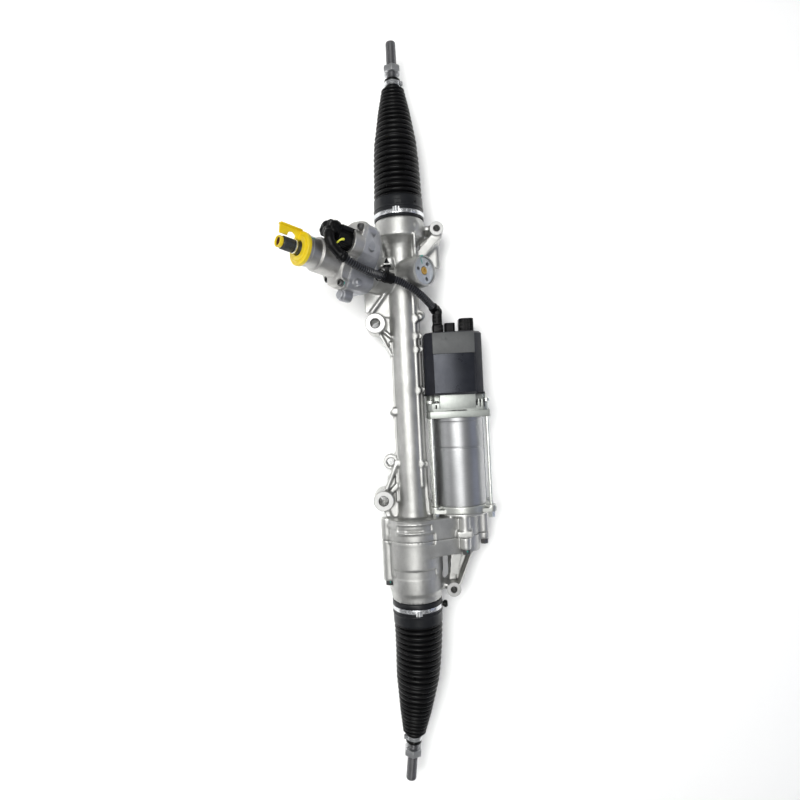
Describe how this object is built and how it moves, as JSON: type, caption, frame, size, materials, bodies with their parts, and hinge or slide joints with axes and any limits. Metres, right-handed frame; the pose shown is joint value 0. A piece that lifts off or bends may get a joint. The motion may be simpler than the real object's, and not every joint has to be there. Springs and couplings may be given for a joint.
{
  "type": "electric power steering rack",
  "caption": "Electric steering rack: cast housing with a belt-driven ball nut, side motor with control unit, angled pinion tower, bellows and tie rods.",
  "frame": {"origin": "midway between the two M12 mounting eyes, on their seat face", "axes": "+X along the rack towards the pinion end, called left; +Y from the rack towards the main eyes and the input shaft; +Z out of the seat face along the mounting bolts"},
  "size_m": [1.0295, 0.2651, 0.1724],
  "materials": {
    "cast_aluminium": "as cast, fine grain, machined faces brighter",
    "sensor_casting": "darker die casting, slightly purple grey",
    "control_housing_aluminium": "coated aluminium, dark blue grey",
    "bright_aluminium": "bright milled",
    "motor_steel": "drawn steel, satin",
    "steel": "machined",
    "zinc_steel": "zinc plated",
    "dark_steel": "phosphated",
    "plug_metal": "satin",
    "bellows_rubber": "half gloss black",
    "black_plastic": "moulded, matte",
    "yellow_plastic": "moulded",
    "bearing_plastic": "natural, smooth",
    "board": "solder mask"
  },
  "bodies": {
    "housing": {"bellows_clamp_left": "zinc_steel", "bellows_clamp_right": "zinc_steel", "bellows_left": "bellows_rubber", "bellows_right": "bellows_rubber", "bracket_screws": "zinc_steel", "drive_belt": "bellows_rubber", "drive_housing": "cast_aluminium", "drive_housing_bolts": "zinc_steel", "ecu_board": "board", "ecu_harness_plug": "black_plastic", "ecu_housing": "control_housing_aluminium", "ecu_power_socket": "black_plastic", "ecu_signal_socket": "black_plastic", "harness_clip": "black_plastic", "harness_conduit": "black_plastic", "input_bearing": "steel", "input_shaft_seal": "bellows_rubber", "motor_can": "motor_steel", "motor_end_bracket": "bright_aluminium", "motor_front_flange": "cast_aluminium", "motor_through_rods": "steel", "nut_bearing": "steel", "pinion_lower_bearing": "steel", "pinion_upper_bearing": "steel", "rack_bush": "bearing_plastic", "rack_housing": "cast_aluminium", "rotor_bearings": "steel", "sensor_cover": "cast_aluminium", "sensor_cover_bolts": "zinc_steel", "sensor_housing": "sensor_casting", "sensor_plug": "black_plastic", "sensor_plug_lock": "yellow_plastic", "stator": "steel", "torque_sensor": "black_plastic", "transit_cap": "yellow_plastic", "vent_knob": "black_plastic", "yoke": "steel", "yoke_plug": "plug_metal", "yoke_plug_cap": "yellow_plastic", "yoke_spring": "steel"},
    "rack": {"rack_bar": "steel", "ball_housing_left": "dark_steel", "ball_housing_right": "dark_steel"},
    "seat_left": {"ball_seat_left": "bearing_plastic"},
    "seat_right": {"ball_seat_right": "bearing_plastic"},
    "rod_left": {"tie_rod_left": "dark_steel", "lock_nut_left": "dark_steel", "bellows_small_clamp_left": "zinc_steel"},
    "rod_right": {"tie_rod_right": "dark_steel", "lock_nut_right": "dark_steel", "bellows_small_clamp_right": "zinc_steel"},
    "pinion": {"pinion_shaft": "steel", "torsion_bar": "steel"},
    "input": {"input_shaft": "steel", "shaft_tip_ring": "yellow_plastic"},
    "ball_nut": {"ball_nut": "steel", "nut_balls": "steel", "nut_pulley": "black_plastic"},
    "rotor": {"rotor_shaft": "steel", "motor_pulley": "black_plastic"}
  },
  "joints": [
    {"name": "rack_slide", "type": "slide", "parent": "housing", "child": "rack", "axis": [1, 0, 0], "range_m": [-0.072, 0.072], "deforming": ["bellows_left", "bellows_right"]},
    {"name": "pinion_turn", "type": "hinge", "parent": "housing", "child": "pinion", "pos_m": [0.183, -0.02908, 0.01121], "axis": [0.1392, 0.7123, 0.6879], "range_deg": [-482, 482]},
    {"name": "torsion_twist", "type": "hinge", "parent": "pinion", "child": "input", "pos_m": [0.183, -0.02908, 0.01121], "axis": [0.1392, 0.7123, 0.6879], "range_deg": [-4.5, 4.5], "stiffness_Nm_per_rad": 115},
    {"name": "ball_nut_spin", "type": "hinge", "parent": "housing", "child": "ball_nut", "pos_m": [-0.188, -0.0395, 0.022], "axis": [1, 0, 0], "range_deg": [-3710, 3710]},
    {"name": "rotor_spin", "type": "hinge", "parent": "housing", "child": "rotor", "pos_m": [-0.07, -0.1086, 0.014], "axis": [1, 0, 0], "range_deg": [-10450, 10450]},
    {"name": "left_joint_steer", "type": "hinge", "parent": "rack", "child": "seat_left", "pos_m": [0.336, -0.0395, 0.022], "axis": [0, 0, 1], "range_deg": [-12, 12], "deforming": ["bellows_left"]},
    {"name": "left_joint_bump", "type": "hinge", "parent": "seat_left", "child": "rod_left", "pos_m": [0.336, -0.0395, 0.022], "axis": [0, 1, 0], "range_deg": [-9, 9], "deforming": ["bellows_left"]},
    {"name": "right_joint_steer", "type": "hinge", "parent": "rack", "child": "seat_right", "pos_m": [-0.336, -0.0395, 0.022], "axis": [0, 0, 1], "range_deg": [-5.3, 18.7], "deforming": ["bellows_right"]},
    {"name": "right_joint_bump", "type": "hinge", "parent": "seat_right", "child": "rod_right", "pos_m": [-0.336, -0.0395, 0.022], "axis": [0, 1, 0], "range_deg": [-9, 9], "deforming": ["bellows_right"]}
  ],
  "couplings": [
    {"joint": "pinion_turn", "follows": "rack_slide", "rad_per_m": 116.36},
    {"joint": "ball_nut_spin", "follows": "rack_slide", "rad_per_m": -897.6},
    {"joint": "rotor_spin", "follows": "rack_slide", "rad_per_m": -2529.6}
  ]
}
